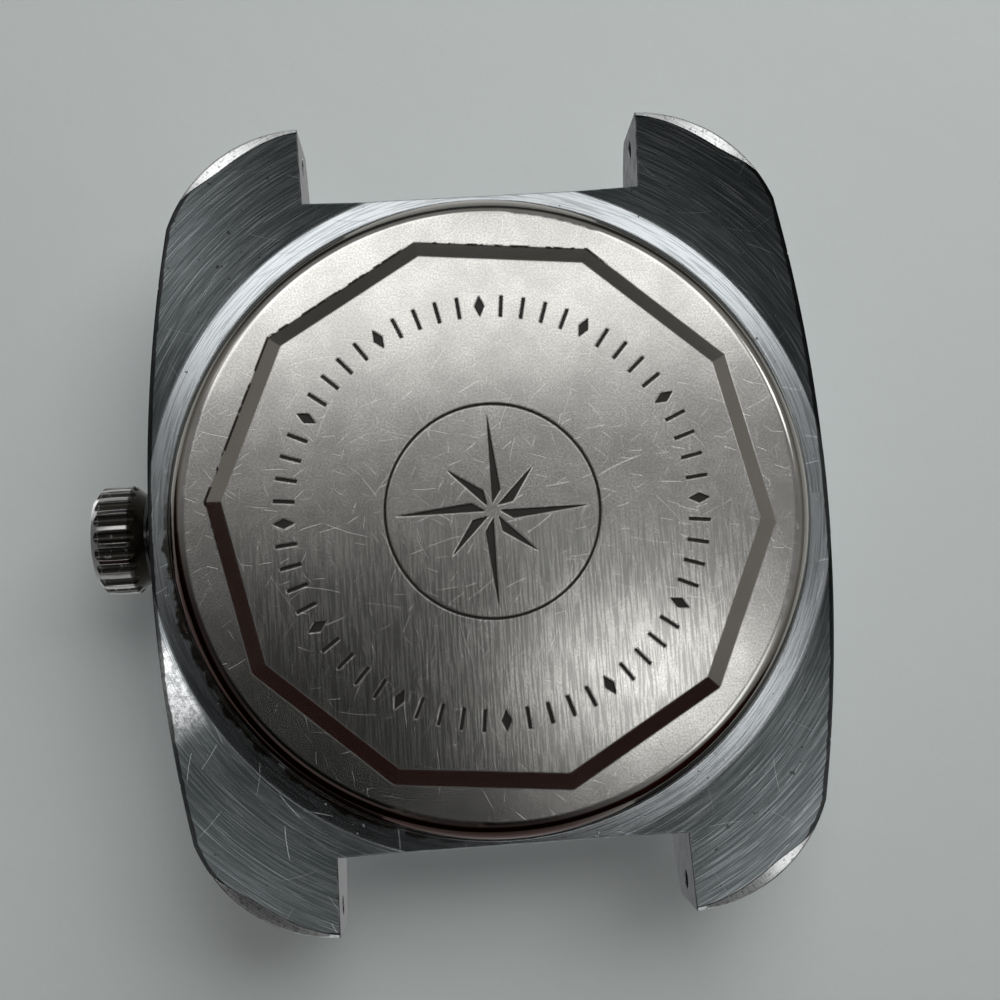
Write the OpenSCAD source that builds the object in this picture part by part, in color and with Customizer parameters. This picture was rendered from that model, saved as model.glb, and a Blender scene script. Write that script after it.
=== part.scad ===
// Calendar watch head, without its strap: a barrel-shaped case with four lugs,
// a screwed back with a ten-sided boss, and a hand-wound movement with a date ring.
// Millimetres. The dial faces +Z, 12 o'clock is +Y, the crown is on +X, and the
// origin is the centre of the ten-sided flat, which is the lowest face.

/* [Case back] */
// Radius of the ten-sided flat, across its corners
flat_corner_r = 13.88; // [12.5:0.01:14.2]
// Radius of the boss at its foot, across its corners
foot_corner_r = 14.79; // [14.4:0.01:15.2]
// How far the boss stands out of the back
boss_h = 0.5; // [0.3:0.05:0.9]
// Angle that the boss has stopped at when the back is screwed home
boss_turn = 23.5; // [0:0.1:36]
// Radius of the rounded edge of the back
back_round = 1; // [0.6:0.05:1.1]
// Thickness of the back's lip
lip_t = 0.3; // [0.25:0.05:0.6]
// Width of the lip outside the thread
lip_w = 1.8; // [1.4:0.05:2]
// Thickness of the back's wall
back_wall = 0.95; // [0.7:0.05:1.2]
// Length of the back's threaded skirt
skirt_h = 1.5; // [1.2:0.05:1.7]
// Wall of the skirt
skirt_t = 1; // [0.7:0.05:1.2]
// Running clearance between fitted parts
fit_gap = 0.03; // [0.02:0.005:0.05]

// Depth of the engraved marks
engraving_depth = 0.06; // [0.04:0.01:0.1]
// Radius of the middle of the ring of marks
marks_r = 10.7; // [10:0.1:11.2]
// Length of a mark
mark_len = 1.1; // [0.8:0.1:1.4]
// Reach of the engraved rose's long rays
rose_r = 5; // [4:0.1:6]

/* [Case] */
// Width of the turned land outside the back, at the crown axis
side_land = 1.07; // [0.9:0.01:1.5]
// Radius of the flanks, seen from above
flank_r = 71; // [50:1:120]
// Width of the body between the lugs, outside the back
end_land = 0.3; // [0.2:0.05:0.8]
// Length of the lugs beyond the body
lug_len = 3.8; // [3.4:0.05:4.6]
// Radius of the lugs' outer corners
lug_corner_r = 8.1; // [7.5:0.1:9]
// Space between the lugs, for the strap
lug_gap = 18; // [16:0.5:20]
// Distance of the spring bar hole from the tip of the lug
hole_from_tip = 1.15; // [0.9:0.05:1.5]
// Height of the spring bar hole above the resting plane
hole_z = 3.2; // [2.6:0.05:3.8]
// Diameter of the spring bar hole
hole_d = 1; // [0.8:0.05:1.2]
// Width of the bright turned ring round the back
ring_w = 1.1; // [0.9:0.05:1.5]
// Fall of the lugs' underside for each millimetre outwards
underside_fall = 0.23; // [0.15:0.01:0.3]
// Radius of the case's rounded shoulders in front
shoulder_r = 5.3; // [4.5:0.1:5.6]
// Height of the bezel over the case
bezel_h = 0.85; // [0.5:0.05:1.2]
// Width of the bezel outside the crystal
bezel_w = 1.7; // [1.3:0.05:2]

/* [Crown and stem] */
// Diameter of the crown
crown_d = 5.8; // [5:0.1:6.5]
// Length of the crown
crown_len = 2.7; // [2.6:0.1:3.6]
// Number of flutes in the crown
crown_flutes = 20; // [14:1:26]
// Space between the case and the crown when it is pushed in
crown_gap = 0.3; // [0.2:0.05:0.9]
// Travel of the crown from winding to setting
crown_pull = 0.85; // [0.6:0.05:0.9]
// Radius of the winding stem
stem_r = 0.58; // [0.5:0.01:0.62]

/* [Wheels] */
// Module of the barrel teeth
barrel_m = 0.155; // [0.15:0.001:0.158]
// Module of the centre wheel
centre_m = 0.095; // [0.092:0.001:0.097]
// Module of the fourth wheel
fourth_m = 0.112; // [0.11:0.001:0.114]
// Module of the hands' wheels under the dial
hand_m = 0.12; // [0.116:0.001:0.122]
// Module of the date wheels
date_m = 0.13; // [0.127:0.001:0.133]
// Module of the winding wheels
wind_m = 0.2; // [0.195:0.001:0.205]
// Thickness of a train wheel
wheel_t = 0.15; // [0.1:0.01:0.18]
// Radius of the escape wheel
escape_r = 1.9; // [1.7:0.02:1.95]
// Radius of the balance wheel
balance_r = 3.75; // [3.5:0.05:3.8]

/* [Movement heights] */
// Free height between the back and the winding wheels
back_room = 0.7; // [0.6:0.05:1]
// Thickness of the winding wheels
wind_t = 0.4; // [0.3:0.02:0.5]
// Thickness of the bridges
bridge_t = 0.55; // [0.45:0.05:0.7]
// Height of the barrel
barrel_h = 0.95; // [0.9:0.05:1.2]
// Thickness of the main plate's floor
plate_t = 0.7; // [0.65:0.05:0.9]
// Height of the calendar works under the dial
calendar_h = 0.7; // [0.68:0.02:0.9]
// Thickness of the dial
dial_t = 0.4; // [0.3:0.05:0.5]
// Wall of the ring that holds the movement
ring_wall = 1.45; // [1.2:0.05:1.6]

/* [Dial, hands and crystal] */
// Height of the flange over the dial
flange_h = 0.78; // [0.7:0.02:1]
// Thickness of the crystal
crystal_t = 0.8; // [0.6:0.05:0.9]
// Radius of the crystal's dome
crystal_dome_r = 60; // [45:1:90]
// Length of the minute hand
minute_len = 11.6; // [10.5:0.1:12]
// Length of the hour hand
hour_len = 8; // [7:0.1:9]
// Length of the seconds hand
seconds_len = 12.2; // [11:0.1:12.4]
// Thickness of the hands
hand_t = 0.15; // [0.1:0.01:0.18]
// Radial width of the printed date ring
date_band = 1.5; // [1.3:0.05:1.7]

/* [Hidden] */
$fn = 48;

// Small clearances and sizes that the whole movement shares
air = 0.05;        // between a fixed part and a part that turns over it
seat = 0.02;       // between two parts that are laid on each other
pivot_r = 0.1;     // train pivots
jewel_r = 0.45;    // ring jewels
jewel_t = 0.25;
screw_head_r = 0.6;
screw_head_t = 0.28;
screw_shank_r = 0.3;
screw_len = 1.4;
post_r = 0.3;      // posts that carry the wheels under the dial

// Tooth counts
barrel_n = 72;
centre_pinion_n = 12;
centre_n = 80;
third_pinion_n = 10;
third_n = 75;
fourth_pinion_n = 10;
fourth_n = 70;
escape_pinion_n = 7;
escape_n = 15;
cannon_n = 12;
minute_n = 36;
minute_pinion_n = 10;
hour_n = 40;
setting_n = 20;
date_pinion_n = 16;
date_drive_n = 32;
stem_pinion_n = 15;
crown_wheel_n = 27;
ratchet_n = 44;
days = 31;

// Tooth heights as shares of the module
tip_share = 0.8;
root_share = 1.05;
function tip_r(n, m) = m * (n / 2 + tip_share);
function root_r(n, m) = m * (n / 2 - root_share);
function pitch(a, b, m) = m * (a + b) / 2;
function polar(d, a) = [d * cos(a), d * sin(a)];
function shift(p, d, a) = p + polar(d, a);
function angle_of(v) = atan2(v[1], v[0]);

// Where the arbors stand, seen from the dial
barrel_dir = 60;
third_dir = 245;
escape_dir = 183;
pallet_dir = 105;
balance_dir = 163;
date_dir = 250;
barrel_d = pitch(barrel_n, centre_pinion_n, barrel_m);
barrel_at = polar(barrel_d, barrel_dir);
barrel_tip = tip_r(barrel_n, barrel_m);
third_d = pitch(centre_n, third_pinion_n, centre_m);
third_at = polar(third_d, third_dir);
third_m = 2 * third_d / (third_n + fourth_pinion_n);
escape_at = polar(pitch(fourth_n, escape_pinion_n, fourth_m), escape_dir);
pallet_at = shift(escape_at, escape_r / cos(30), pallet_dir);
balance_d = 2.7;
balance_at = shift(pallet_at, balance_d, balance_dir);
minute_d = pitch(cannon_n, minute_n, hand_m);
minute_at = [minute_d, 0];
hour_m = 2 * minute_d / (minute_pinion_n + hour_n);
setting_at = [minute_d + pitch(minute_n, setting_n, hand_m), 0];
inter_at = polar(hour_m * hour_n, date_dir);
drive_at = shift(inter_at, pitch(date_pinion_n, date_drive_n, date_m), date_dir);
movement_r = barrel_d + barrel_tip + 0.59;

// The crown wheel stands on the stem line and meshes with the ratchet wheel
wind_d = pitch(crown_wheel_n, ratchet_n, wind_m);
crown_wheel_at = [barrel_at[0] + sqrt(pow(wind_d, 2) - pow(barrel_at[1], 2)), 0];

// Heights, from the back towards the dial
z_lip = boss_h + back_round;
z_seat = z_lip + lip_t + seat;
z_inner = boss_h + back_wall;
z_wind = z_inner + back_room;
z_bridge = z_wind + wind_t + air;
z_train = z_bridge + bridge_t;
z_fourth = z_train + 0.1;
z_barrel = z_train + 0.35;
barrel_top = z_barrel + barrel_h;
z_centre = barrel_top + 0.1;
z_plate = z_centre + wheel_t + 0.1;
z_front = z_plate + plate_t;
z_dial = z_front + calendar_h;
z_face = z_dial + dial_t;
z_flange = z_face + seat;
z_crystal = z_flange + flange_h;
z_case_top = z_crystal - 0.2;
z_land = z_seat - 0.2;
z_escape = z_barrel + 0.45;
z_balance = z_bridge + 0.25;
balance_t = 0.3;
z_cock = z_balance - 0.8;
cock_t = 0.57;
z_spring = z_cock + cock_t + 0.06;
z_pallet = z_train + 0.2;
pallet_t = 0.4;
z_ring = z_front + 0.32;
ring_t = 0.18;
z_guard = z_ring + ring_t + 0.03;
z_lever = z_front + 0.04;
lever_t = 0.2;
z_hour = z_face + 0.2;
z_minute = z_hour + hand_t + 0.2;
z_seconds = z_minute + hand_t + 0.15;
stem_pinion_m = 0.17;
stem_pinion_r = tip_r(stem_pinion_n, stem_pinion_m);
stem_z = z_bridge + air + stem_pinion_r;

// Radii, from the movement outwards
ring_in = movement_r + 0.1;
case_bore = ring_in + ring_wall + air;
thread_r = case_bore + 0.6;
skirt_in = thread_r - skirt_t;
back_r = thread_r + lip_w;
land_r = back_r + 0.07;
ring_edge = land_r + ring_w;
half_width = back_r + side_land;
body_end = back_r + end_land;
lug_tip = body_end + lug_len;
corner_y = lug_tip - lug_corner_r;
flank_shift = flank_r - half_width;
// The corner arc starts just outside the flank, so that the two cross in a line
corner_x = sqrt(pow(flank_r - lug_corner_r, 2) - pow(corner_y, 2)) - flank_shift + 0.12;
hole_y = lug_tip - hole_from_tip;
dial_r = case_bore - 0.3;
flange_r = dial_r - 0.8;
crystal_r = case_bore + 0.3;
crystal_in = crystal_r - 0.9;
date_out = movement_r - 1.2;
date_in = date_out - date_band;
date_tip = date_in - 0.5;

// Places along the stem, from the middle of the movement outwards
pocket_x0 = setting_at[0] + 0.7;
slider_x = pocket_x0 + 0.8;
slider_len = 1.65;
slider_r = 1.05;
slider_neck = 0.8;
slider_travel = 0.7;
wind_x = slider_x + slider_len + air;
wind_len = 1.4;
pocket_x1 = wind_x + wind_len + 0.1;
groove_x = pocket_x1 + 0.5;
groove_w = 0.56;
tube_r = 1;
collar_r = 1.25;
crown_x = half_width + crown_gap;
crown_end = crown_x + crown_len;
crown_hollow = 1.9;
lever_pin = [groove_x, 0];
lever_pivot = lever_pin + [-0.85, -3.3];
yoke_pin = [slider_x + 1.15, -slider_neck - 0.23];
yoke_pivot = yoke_pin + [-0.35, -3.1];

// Screws that hold the bridges
barrel_screws = [polar(movement_r - 1.25, 23.5), polar(movement_r - 1.45, 94.5),
  polar(movement_r - 2.1, -17.4)];
train_screws = [polar(movement_r - 3.9, 224), polar(movement_r - 5.1, 297.9)];
cock_screw = polar(movement_r - 2.4, 121.2);
pallet_feet = [shift(balance_at, 2.47, 51), shift(balance_at, 3.1, 278)];
click_at = shift(barrel_at, 5.7, 160);
clamp_dirs = [-60, 197];
guard_posts = [polar(5.9, 135), polar(7.6, 55), polar(7.2, -46)];
foot_dirs = [35, 215];
foot_r = 0.35;
foot_d = movement_r - 0.55;

// A disc between two heights
module disc(r, z0, z1) translate([0, 0, z0]) cylinder(h = z1 - z0, r = r);
// A ring between two heights
module tube(r, bore, z0, z1) translate([0, 0, z0]) difference() {
  cylinder(h = z1 - z0, r = r);
  translate([0, 0, -1]) cylinder(h = z1 - z0 + 2, r = bore);
}
// A block from corner to corner
module block(a, b) translate(a) cube(b - a);
module at(p) translate([p[0], p[1], 0]) children();
// A flat bar with round ends, from one point to another
module bar(a, b, w, z0, z1) translate([0, 0, z0]) linear_extrude(z1 - z0) strip(a, b, w);
module strip(a, b, w) {
  translate(a) circle(w / 2);
  translate(b) circle(w / 2);
  translate(a) rotate(angle_of(b - a)) translate([0, -w / 2]) square([norm(b - a), w]);
}
// A cylinder on the stem's axis, from x0 to x1
module along_stem(r, x0, x1) translate([x0, 0, stem_z]) rotate([0, 90, 0]) cylinder(h = x1 - x0, r = r);

// Gear outline: four points to a tooth, with a tooth centred at the phase angle
function gear_points(n, m, phase) = [
  for (i = [0 : n - 1]) for (k = [0 : 3])
    let (share = [-0.27, -0.11, 0.11, 0.27][k], r = (k == 1 || k == 2) ? tip_r(n, m) : root_r(n, m))
    polar(r, phase + (i + share) * 360 / n)];
// Phase of a wheel of n teeth that meshes with one of n0 teeth at phase0, in direction dir
function mesh_phase(dir, n0, phase0, n) = dir + 180 - (phase0 - dir) * n0 / n + 180 / n;
module gear(n, m, phase, z0, z1, bore) translate([0, 0, z0]) linear_extrude(z1 - z0) difference() {
  polygon(gear_points(n, m, phase));
  circle(bore);
}
// A gear with five arms
module crossed_gear(n, m, phase, z0, z1, bore, hub) translate([0, 0, z0]) linear_extrude(z1 - z0)
  difference() {
    polygon(gear_points(n, m, phase));
    circle(bore);
    arm_windows(root_r(n, m) - 0.28, hub, 5, 0.34);
  }
// The openings between the arms of a wheel
module arm_windows(r_out, r_in, count, w) difference() {
  circle(r_out);
  circle(r_in);
  for (k = [0 : count - 1]) rotate(k * 360 / count) translate([0, -w / 2]) square([r_out + 1, w]);
}
// Arbor with a pivot at each end
module arbor(r, z0, z1) {
  disc(r, z0 + 0.25, z1 - 0.25);
  disc(pivot_r, z0, z0 + 0.25);
  disc(pivot_r, z1 - 0.25, z1);
}
// Flat spiral of rectangular section
function spiral_side(r0, r1, turns, offset) = [for (i = [0 : turns * 24])
  polar(r0 + (r1 - r0) * i / (turns * 24) + offset, i * 15)];
function reversed(list) = [for (i = [len(list) - 1 : -1 : 0]) list[i]];
module spiral(r0, r1, turns, w, z0, z1) translate([0, 0, z0]) linear_extrude(z1 - z0)
  polygon(concat(spiral_side(r0, r1, turns, w / 2), reversed(spiral_side(r0, r1, turns, -w / 2))));
// Slotted screw with its head towards the back, its shoulder at height z
module screw(p, z, len, head = screw_head_r) at(p) {
  difference() {
    disc(head, z - screw_head_t, z);
    block([-head - 1, -0.09, z - screw_head_t - 1], [head + 1, 0.09, z - screw_head_t * 0.55]);
  }
  disc(screw_shank_r, z, z + len);
}
module screw_hole(p, z0, z1) at(p) disc(screw_shank_r + fit_gap, z0, z1);

// Case

module flanks(h) intersection() {
  translate([flank_shift, 0, 0]) cylinder(h = h, r = flank_r, $fn = 360);
  translate([-flank_shift, 0, 0]) cylinder(h = h, r = flank_r, $fn = 360);
}
module lug_corners(h) {
  for (sx = [-1, 1]) for (sy = [-1, 1])
    translate([sx * corner_x, sy * corner_y, 0]) cylinder(h = h, r = lug_corner_r);
  translate([-half_width - 5, -corner_y, 0]) cube([2 * half_width + 10, 2 * corner_y, h]);
  translate([-corner_x, -lug_tip, 0]) cube([2 * corner_x, 2 * lug_tip, h]);
}
// Side view of the turned case: domed shoulders in front, a cone falling to the lugs behind
module turned_profile() {
  reach = norm([corner_x + lug_corner_r, lug_tip]);
  dome_x = back_r + 1.8;
  dome_z = z_case_top - shoulder_r;
  difference() {
    union() {
      translate([dome_x, dome_z]) circle(shoulder_r, $fn = 96);
      translate([0, -1]) square([dome_x, z_case_top + 1]);
      translate([0, -1]) square([dome_x + shoulder_r, dome_z + 1]);
      bezel_profile();
    }
    translate([-50, -50]) square([50, 100]);
    polygon([[0, z_land], [ring_edge, z_land], [ring_edge, z_land + 0.04],
      [reach, z_land + 0.04 - underside_fall * (reach - ring_edge)], [reach, -60], [0, -60]]);
  }
}
module bezel_profile() {
  z0 = z_case_top;
  r1 = crystal_r + bezel_w;
  polygon([[0, z0 - 0.5], [r1 + 0.25, z0 - 0.5], [r1 + 0.25, z0], [r1, z0 + 0.3], [r1 - 0.9, z0 + bezel_h],
    [crystal_r + 0.1, z0 + bezel_h + 0.1], [0, z0 + bezel_h + 0.1]]);
}
// The bright facet that runs along each flank in front
module flank_facets() {
  z0 = z_case_top - 1.7;
  side = half_width;
  translate([0, 60, 0]) rotate([90, 0, 0]) linear_extrude(120) polygon([
    [-side - 9, -5], [side + 9, -5], [side + 9, z0], [side + 0.05, z0], [side - 1.3, z_case_top + 0.02],
    [side - 1.3, 20], [1.3 - side, 20], [1.3 - side, z_case_top + 0.02], [-side - 0.05, z0], [-side - 9, z0]]);
}
module case_bores() rotate_extrude($fn = 96) polygon([
  [0, -2], [land_r, -2], [land_r, z_seat], [back_r - 0.6, z_seat], [back_r - 0.6, z_seat + 0.25],
  [thread_r + fit_gap, z_seat + 0.25], [thread_r + fit_gap, z_seat + skirt_h + 0.05],
  [case_bore, z_seat + skirt_h + 0.05], [case_bore, z_flange], [flange_r, z_flange],
  [flange_r, z_crystal - 0.3], [flange_r + 0.3, z_crystal], [crystal_r + seat, z_crystal],
  [crystal_r + seat, z_crystal + 9], [0, z_crystal + 9]]);
module mid_case() color([0.62, 0.64, 0.66]) difference() {
  intersection() {
    rotate_extrude($fn = 96) turned_profile();
    flanks(20);
    lug_corners(20);
    flank_facets();
  }
  for (s = [-1, 1]) translate([-lug_gap / 2, s * (body_end + 10) - 10, -5]) cube([lug_gap, 20, 30]);
  case_bores();
  along_stem(tube_r + 0.005, case_bore - 2, half_width + 5);
  for (sx = [-1, 1]) for (sy = [-1, 1])
    translate([sx * (lug_gap / 2 - 1), sy * hole_y, hole_z]) rotate([0, sx * 90, 0])
      cylinder(h = half_width, r = hole_d / 2);
}

// The screwed back: a turned cup with a ten-sided boss
module case_back() color([0.66, 0.65, 0.62]) {
  rotate_extrude($fn = 96) difference() {
    union() {
      translate([0, boss_h]) square([back_r - back_round, z_seat - boss_h - seat]);
      translate([0, z_lip]) square([back_r, lip_t]);
      translate([back_r - back_round, z_lip]) circle(back_round, $fn = 64);
      translate([skirt_in, z_lip]) square([skirt_t, z_seat + skirt_h - z_lip]);
    }
    translate([-40, -10]) square([40, 30]);
    translate([-1, z_inner]) square([skirt_in + 1, 10]);
    translate([thread_r, z_lip + lip_t]) square([10, 10]);
  }
  boss();
}
module boss() {
  foot = foot_corner_r * cos(18);
  flat = flat_corner_r * cos(18);
  slope = (foot - flat) / boss_h;
  difference() {
    disc(foot_corner_r + 0.1, 0, boss_h + 0.2);
    for (k = [0 : 9]) rotate(boss_turn + 36 * k) rotate([90, 0, 0]) linear_extrude(60, center = true)
      polygon([[flat - slope, -1], [foot, boss_h], [40, boss_h], [40, -1]]);
    translate([0, 0, -1]) linear_extrude(engraving_depth + 1) {
      ring_of_marks();
      rose();
    }
  }
}
// Sixty radial marks, with a lozenge at every fifth
module ring_of_marks() for (k = [0 : 59]) rotate(6 * k) translate([marks_r, 0]) {
  half = mark_len / 2;
  if (k % 5 == 0) polygon([[-half, 0], [0, -0.26], [half, 0], [0, 0.26]]);
  else translate([-half, -0.08]) square([mark_len, 0.16]);
}
// An eight-pointed rose: each ray is cut away on one side of its middle line
module rose() {
  valley = 1.15;
  for (k = [0 : 7]) rotate(45 * k) {
    reach = (k % 2 == 0) ? rose_r : rose_r * 0.62;
    polygon([[0.4, 0], polar(valley, 22.5), [reach, 0]]);
  }
  difference() {
    circle(rose_r + 0.6);
    circle(rose_r + 0.48);
  }
}
module back_gasket() color([0.12, 0.12, 0.12])
  tube(back_r - 0.65, thread_r + 0.1, z_seat + seat, z_seat + 0.23);

// Domed crystal with a skirt, pressed into the bezel by a ring inside it
module crystal() color([0.8, 0.86, 0.9, 0.4]) rotate_extrude($fn = 96) {
  top = z_crystal + 1.2 + crystal_dome_r - sqrt(pow(crystal_dome_r, 2) - pow(crystal_r, 2));
  centre = top - crystal_dome_r;
  difference() {
    intersection() {
      translate([0, z_crystal + seat]) square([crystal_r, 20]);
      translate([0, centre]) circle(crystal_dome_r, $fn = 360);
    }
    intersection() {
      translate([-1, z_crystal - 1]) square([crystal_in + 1, 20]);
      translate([0, centre]) circle(crystal_dome_r - crystal_t, $fn = 360);
    }
  }
}
module tension_ring() color([0.8, 0.8, 0.82]) rotate_extrude($fn = 96) polygon([
  [crystal_in - seat, z_crystal + seat], [crystal_in - seat, z_crystal + 0.5],
  [crystal_in - 0.15, z_crystal + 0.5], [flange_r + 0.1, z_crystal + 0.25], [flange_r + 0.1, z_crystal + seat]]);

// Crown, tube and stem

// A turned part whose profile is given as distance along the stem and radius
module turned_on_stem() translate([0, 0, stem_z]) rotate([0, 90, 0]) rotate_extrude($fn = 64) children();
module crown() color([0.6, 0.6, 0.6]) difference() {
  r = crown_d / 2;
  turned_on_stem() difference() {
    intersection() {
      translate([0, crown_x]) square([r, crown_len]);
      translate([r - 9, crown_x + crown_len / 2]) circle(9, $fn = 120);
      polygon([[0, crown_x], [r - 0.62, crown_x], [r, crown_x + 0.75], [r, crown_end - 0.45],
        [r - 0.5, crown_end], [0, crown_end]]);
    }
    translate([0, crown_x - 1]) square([crown_hollow - 0.25, crown_hollow + 1]);
    translate([0, crown_x]) square([stem_r - 0.12, crown_hollow + 0.65]);
  }
  for (k = [0 : crown_flutes - 1]) translate([0, 0, stem_z]) rotate([k * 360 / crown_flutes, 0, 0])
    translate([crown_x - 1, 0, r + 0.08]) rotate([0, 90, 0]) cylinder(h = crown_len + 2, r = 0.35, $fn = 24);
}
module crown_tube() color([0.75, 0.72, 0.6]) difference() {
  union() {
    along_stem(tube_r, thread_r + 0.1, half_width + 0.06);
    along_stem(collar_r, half_width + 0.06, crown_x + crown_hollow - 0.15);
  }
  along_stem(stem_r + 0.07, case_bore, crown_end);
}
module crown_gasket() color([0.1, 0.1, 0.1]) difference() {
  along_stem(crown_hollow - 0.28, crown_x + 0.3, crown_x + 0.75);
  along_stem(collar_r + fit_gap, crown_x, crown_x + 2);
}
module winding_stem() color([0.55, 0.57, 0.6]) {
  square_w = 0.8;
  along_stem(0.3, pocket_x0 - 0.9, pocket_x0 + 0.1);
  translate([pocket_x0 + 0.1, -square_w / 2, stem_z - square_w / 2]) cube([wind_x - pocket_x0 - 0.1, square_w, square_w]);
  along_stem(stem_r, wind_x, groove_x - groove_w / 2);
  along_stem(stem_r - 0.25, groove_x - groove_w / 2, groove_x + groove_w / 2);
  along_stem(stem_r, groove_x + groove_w / 2, crown_x + crown_hollow - 0.02);
  along_stem(stem_r - 0.13, crown_x + crown_hollow - 0.02, crown_x + crown_hollow + 0.6);
}

// Keyless works

// A gear on the stem's axis, from x0 to x1
module stem_gear(n, m, x0, x1) translate([x0, 0, stem_z]) rotate([0, 90, 0]) gear(n, m, 0, 0, x1 - x0, stem_r + fit_gap);
module winding_pinion() color([0.72, 0.66, 0.42]) {
  stem_gear(stem_pinion_n, stem_pinion_m, wind_x + 0.4, wind_x + wind_len);
  difference() {
    along_stem(slider_r, wind_x, wind_x + 0.4);
    along_stem(stem_r + fit_gap, wind_x - 1, wind_x + 2);
  }
}
module sliding_pinion() color([0.62, 0.64, 0.66]) difference() {
  union() {
    along_stem(slider_r, slider_x, slider_x + 0.9);
    along_stem(slider_neck, slider_x + 0.9, slider_x + 1.4);
    along_stem(slider_r, slider_x + 1.4, slider_x + slider_len);
  }
  along_stem(stem_r + 0.04, slider_x - 1, slider_x + slider_len + 1);
  for (k = [0 : 9]) translate([slider_x, 0, stem_z]) rotate([36 * k, 0, 0])
    translate([-0.1, -0.14, 0.7]) cube([0.35, 0.28, 1]);
}
module setting_lever() color([0.6, 0.62, 0.65]) {
  translate([0, 0, z_lever]) linear_extrude(lever_t) difference() {
    union() {
      strip(lever_pivot, lever_pin, 0.6);
      strip(lever_pivot, lever_pivot + [-1.2, 0.5], 0.5);
      translate(lever_pivot) circle(0.52);
    }
    translate(lever_pivot) circle(post_r + fit_gap);
  }
  at(lever_pin) disc(0.18, stem_z + 0.36, z_lever);
}
module yoke() color([0.58, 0.6, 0.62]) {
  difference() {
    union() {
      bar(yoke_pivot, yoke_pin, 0.55, z_lever, z_lever + lever_t);
      at(yoke_pivot) disc(0.55, z_lever, z_lever + lever_t);
    }
    at(yoke_pivot) disc(post_r + fit_gap, z_lever - 1, z_lever + 1);
  }
  at(yoke_pin) disc(0.18, stem_z - 0.1, z_lever);
}
module setting_lever_spring() color([0.7, 0.72, 0.75]) {
  foot = yoke_pivot + [-2.2, -4];
  translate([0, 0, z_front + 0.01]) linear_extrude(lever_t) difference() {
    union() {
      translate(foot) circle(0.8);
      strip(foot, lever_pivot + [-0.35, -0.85], 0.35);
    }
    translate(foot) circle(post_r + fit_gap);
  }
}

// Casing ring and clamps

module movement_ring() color([0.7, 0.68, 0.6]) difference() {
  rotate_extrude($fn = 96) polygon([
    [ring_in, z_train + 0.02], [skirt_in - 0.15, z_train + 0.02], [skirt_in - 0.15, z_seat + skirt_h + 0.15],
    [case_bore - air, z_seat + skirt_h + 0.15], [case_bore - air, z_dial - 0.03], [ring_in, z_dial - 0.03]]);
  along_stem(tube_r + 0.3, ring_in - 1, case_bore + 1);
}
module casing_clamps() color([0.68, 0.7, 0.72]) for (dir = clamp_dirs) difference() {
  bar(polar(movement_r - 1.2, dir), polar(skirt_in - 1.15, dir), 2, z_train - 0.27, z_train - 0.01);
  at(polar(movement_r - 1.2, dir)) disc(screw_shank_r + fit_gap, z_train - 1, z_train + 1);
}
module clamp_screws() color([0.5, 0.55, 0.7]) for (dir = clamp_dirs)
  screw(polar(movement_r - 1.2, dir), z_train - 0.28, 1.2);

// Dial, hands and calendar

module dial() color([0.86, 0.86, 0.83]) difference() {
  union() {
    disc(dial_r, z_dial, z_face);
    for (a = foot_dirs) at(polar(foot_d, a)) disc(foot_r, z_front + 0.1, z_dial);
  }
  tube(dial_r + 1, dial_r, z_dial - 1, z_dial - 0.5);
  disc(hour_tube_r + 0.15, z_dial - 1, z_face + 1);
  block([date_in + 0.1, -0.95, z_dial - 1], [date_out + 0.3, 0.95, z_face + 1]);
}
hour_tube_r = 0.85;
module hour_markers() color([0.8, 0.8, 0.8]) {
  for (h = [0 : 11]) if (h != 3) rotate(90 - 30 * h) {
    w = (h == 0) ? 1 : 0.55;
    difference() {
      block([dial_r - 3.3, -w / 2, z_face + 0.005], [dial_r - 1.2, w / 2, z_face + 0.2]);
      block([dial_r - 3.1, -w / 6, z_face + 0.13], [dial_r - 1.4, w / 6, z_face + 1]);
    }
  }
  difference() {
    block([date_in - 0.15, -1.2, z_face + 0.005], [date_out + 0.55, 1.2, z_face + 0.12]);
    block([date_in + 0.1, -0.95, z_face - 1], [date_out + 0.3, 0.95, z_face + 1]);
  }
}
// A straight hand with a hub and a short tail
module hand(len, w, tail, hub, bore, z) difference() {
  union() {
    disc(hub, z, z + hand_t);
    translate([0, 0, z]) linear_extrude(hand_t)
      polygon([[-w / 2, -tail], [w / 2, -tail], [w / 2, len - w], [0, len], [-w / 2, len - w]]);
  }
  disc(bore, z - 1, z + 1);
}
module hour_hand() color([0.82, 0.82, 0.84]) rotate(-305) hand(hour_len, 0.9, 0, 1.3, hour_tube_r, z_hour);
module minute_hand() color([0.82, 0.82, 0.84]) rotate(-55) hand(minute_len, 0.75, 0, 1, cannon_r, z_minute);
module seconds_hand() color([0.82, 0.82, 0.84]) rotate(-210) hand(seconds_len, 0.22, 3.2, 0.6, fourth_arbor_r, z_seconds);
cannon_r = 0.58;
cannon_bore = 0.45;
centre_arbor_r = 0.42;
fourth_arbor_r = 0.13;
minute_phase = mesh_phase(0, cannon_n, 0, minute_n);
hour_phase = mesh_phase(180, minute_pinion_n, 0, hour_n);
module cannon_pinion() color([0.6, 0.62, 0.64]) {
  gear(cannon_n, hand_m, 0, z_front + 0.04, z_front + 0.22, cannon_bore);
  tube(cannon_r, cannon_bore, z_front + 0.22, z_minute + hand_t);
}
module minute_wheel() color([0.8, 0.68, 0.4]) at(minute_at) {
  gear(minute_n, hand_m, minute_phase, z_front + 0.06, z_front + 0.2, post_r + fit_gap);
  gear(minute_pinion_n, hour_m, 0, z_front + 0.2, z_front + 0.4, post_r + fit_gap);
}
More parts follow.
